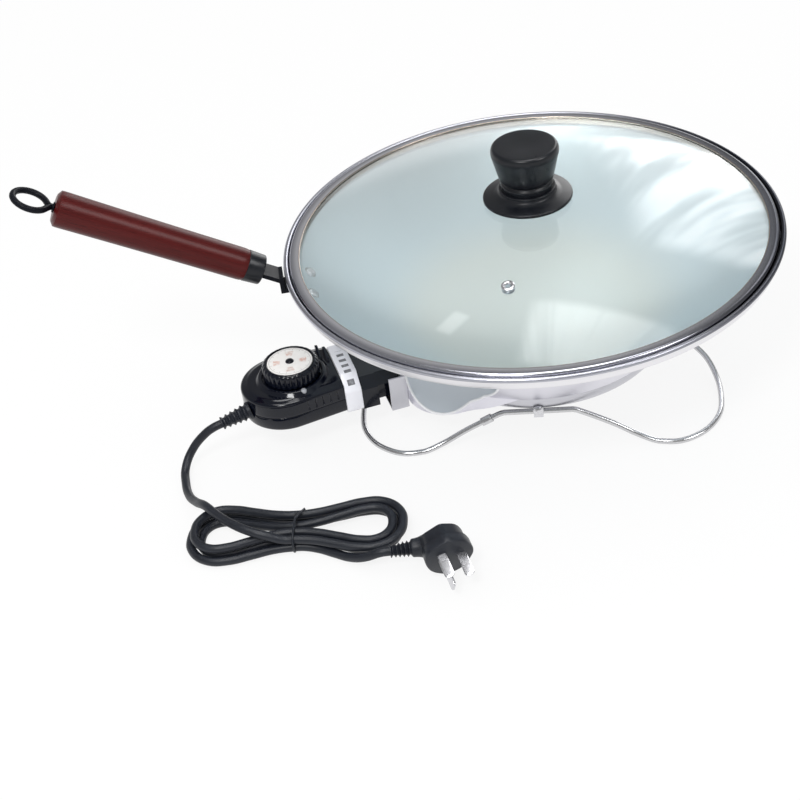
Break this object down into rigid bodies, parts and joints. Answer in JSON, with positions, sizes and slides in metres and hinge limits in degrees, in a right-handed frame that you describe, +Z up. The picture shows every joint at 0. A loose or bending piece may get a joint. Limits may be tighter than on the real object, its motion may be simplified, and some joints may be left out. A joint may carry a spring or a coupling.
{
  "type": "electric wok",
  "caption": "Round steel electric wok on a wire stand, with a lift-off glass lid, one wooden handle and a plug-in heat controller with a dial, cord and plug.",
  "frame": {"origin": "point on the bowl's axis at the level of the table that the wire stand rests on", "axes": "+Z up along the bowl's axis; the controller plugs in from -X and the handle leans out just behind it; +Y to the back"},
  "size_m": [0.5055, 0.3801, 0.2054],
  "materials": {
    "clear_glass": "clear tempered glass",
    "polished_steel": "polished stainless steel",
    "stainless_steel": "fine brushed stainless steel",
    "satin_steel": "satin sheet steel",
    "bright_steel": "bright plated steel",
    "cast_aluminium": "cast",
    "element_sheath": "dull heated steel",
    "white_ceramic": "dull ceramic",
    "brass": "plain",
    "black_phenolic": "semi gloss",
    "black_gloss": "glossy",
    "black_rubber": "smooth moulded",
    "soft_rubber": "soft",
    "black_tie": "matt",
    "black_paint": "semi gloss black",
    "white_plastic": "glossy white",
    "amber_lens": "clear tinted lens",
    "thermostat_board": "moulded",
    "red_wood": "dark red lacquer"
  },
  "bodies": {
    "pot": {"wok_bowl": "stainless_steel", "heating_plate": "cast_aluminium", "heating_element": "element_sheath", "terminal_pins": "bright_steel", "terminal_insulators": "white_ceramic", "probe_well": "brass", "base_shell": "polished_steel", "bottom_cover": "satin_steel", "cover_screw": "bright_steel", "socket_guard": "satin_steel", "guard_screws": "bright_steel", "stand_wire": "bright_steel", "wire_sleeve": "bright_steel", "stand_clips": "bright_steel", "stand_screws": "bright_steel", "handle_bracket": "black_paint", "handle_rivets": "bright_steel", "handle_ferrule": "black_phenolic", "handle_grip": "red_wood", "hanging_eye": "black_paint"},
    "lid": {"lid_glass": "clear_glass", "lid_band": "polished_steel", "steam_vent": "polished_steel", "knob_flange": "black_phenolic", "lid_knob": "black_phenolic", "knob_washer": "soft_rubber", "knob_screw": "bright_steel"},
    "controller": {"controller_base": "black_gloss", "controller_top": "black_gloss", "collar_band": "white_plastic", "connector_nose": "black_gloss", "contact_sleeves": "brass", "probe_tube": "bright_steel", "thermostat_frame": "thermostat_board", "bimetal_blade": "brass", "contact_blades": "brass", "indicator_lamp": "amber_lens", "housing_screws": "bright_steel", "cord_boot": "black_rubber", "power_cord": "black_rubber", "cord_hank": "black_rubber", "hank_tie": "black_tie", "cord_tail": "black_rubber", "plug_boot": "black_rubber", "plug_body": "black_rubber", "plug_pins": "bright_steel"},
    "dial": {"dial_ring": "black_gloss", "dial_face": "white_plastic", "dial_hub": "black_gloss", "dial_spindle": "thermostat_board"}
  },
  "joints": [
    {"name": "lid_lift", "type": "slide", "parent": "pot", "child": "lid", "axis": [0, 0, 1], "range_m": [0, 0.15]},
    {"name": "controller_pull", "type": "slide", "parent": "pot", "child": "controller", "axis": [-1, 0, 0], "range_m": [0, 0.07]},
    {"name": "dial_turn", "type": "hinge", "parent": "controller", "child": "dial", "pos_m": [-0.181, 0, 0.055], "axis": [0, 0, -1], "range_deg": [0, 270]}
  ]
}
